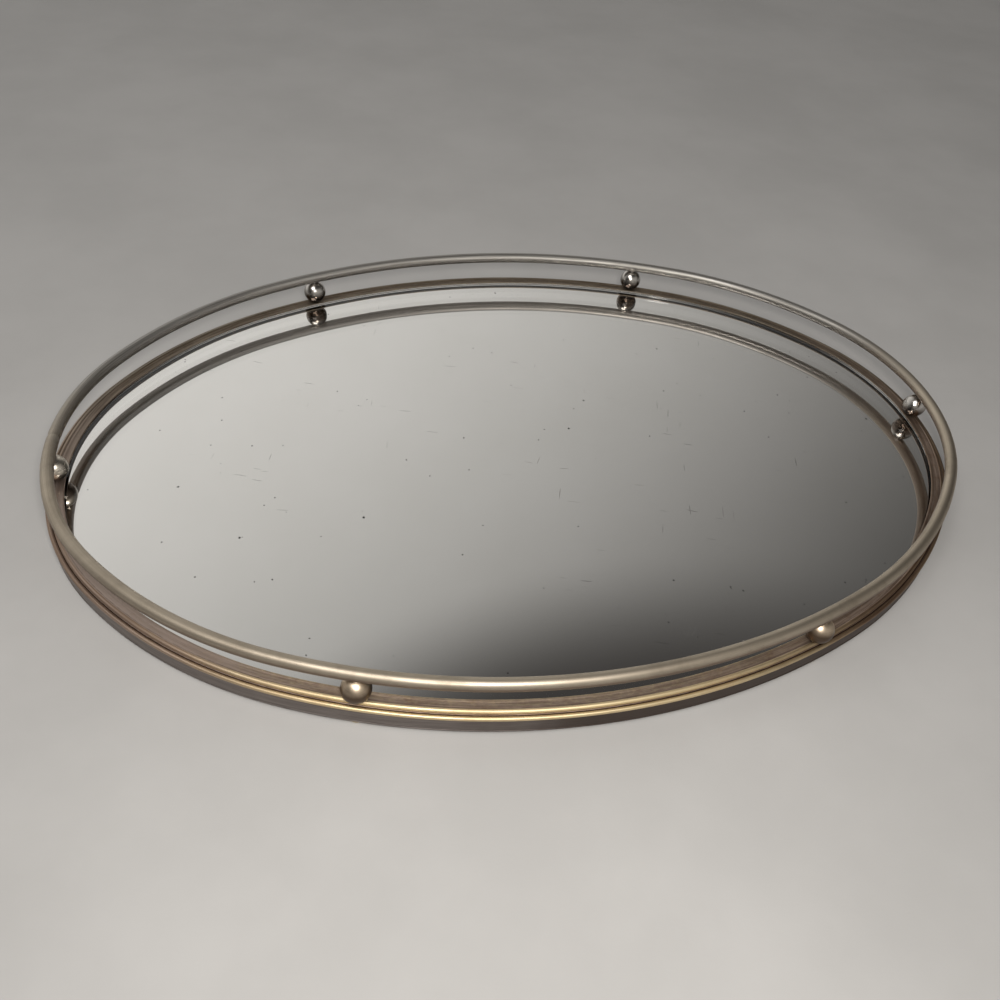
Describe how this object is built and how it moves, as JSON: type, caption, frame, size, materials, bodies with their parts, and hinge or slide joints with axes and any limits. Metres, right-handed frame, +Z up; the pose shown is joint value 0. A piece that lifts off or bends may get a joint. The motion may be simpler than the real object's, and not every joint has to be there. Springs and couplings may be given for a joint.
{
  "type": "mirrored vanity tray",
  "caption": "Oval mirrored tray for a dressing table, with a gilt beaded rim and a round gallery rail standing on balls.",
  "frame": {"origin": "middle of the plane that the feet stand on", "axes": "+X along the length of the oval, +Y towards its back, +Z up out of the mirror"},
  "size_m": [0.3828, 0.2682, 0.0254],
  "materials": {
    "rail_brass": "worn satin gilt",
    "rim_brass": "worn gilt with brown tarnish in the grooves",
    "ball_brass": "polished, lightly tarnished",
    "foot_brass": "turned satin",
    "inner_brass": "plain drawn brass",
    "steel": "plain zinc-coated steel",
    "glass": "polished clear float glass, fine scratches",
    "silvering": "silvered, small dark specks",
    "card": "grey-brown pulp card",
    "hardboard": "pressed hardboard",
    "felt": "dark green wool felt"
  },
  "bodies": {
    "root": {"ball_back_left": "ball_brass", "ball_back_right": "ball_brass", "ball_front_left": "ball_brass", "ball_front_right": "ball_brass", "ball_left": "ball_brass", "ball_right": "ball_brass", "base_board": "hardboard", "base_felt": "felt", "base_rim": "rim_brass", "cushion_pad": "card", "foot_nut_back_left": "foot_brass", "foot_nut_back_right": "foot_brass", "foot_nut_front_left": "foot_brass", "foot_nut_front_right": "foot_brass", "foot_nut_left": "foot_brass", "foot_nut_right": "foot_brass", "foot_washers": "inner_brass", "mirror_glass": "glass", "mirror_silvering": "silvering", "post_rod_back_left": "steel", "post_rod_back_right": "steel", "post_rod_front_left": "steel", "post_rod_front_right": "steel", "post_rod_left": "steel", "post_rod_right": "steel", "rail_joint_pin": "steel", "rim_joint_plate": "inner_brass", "spacer_sleeve_back_left": "inner_brass", "spacer_sleeve_back_right": "inner_brass", "spacer_sleeve_front_left": "inner_brass", "spacer_sleeve_front_right": "inner_brass", "spacer_sleeve_left": "inner_brass", "spacer_sleeve_right": "inner_brass", "top_rail": "rail_brass"}
  },
  "joints": []
}
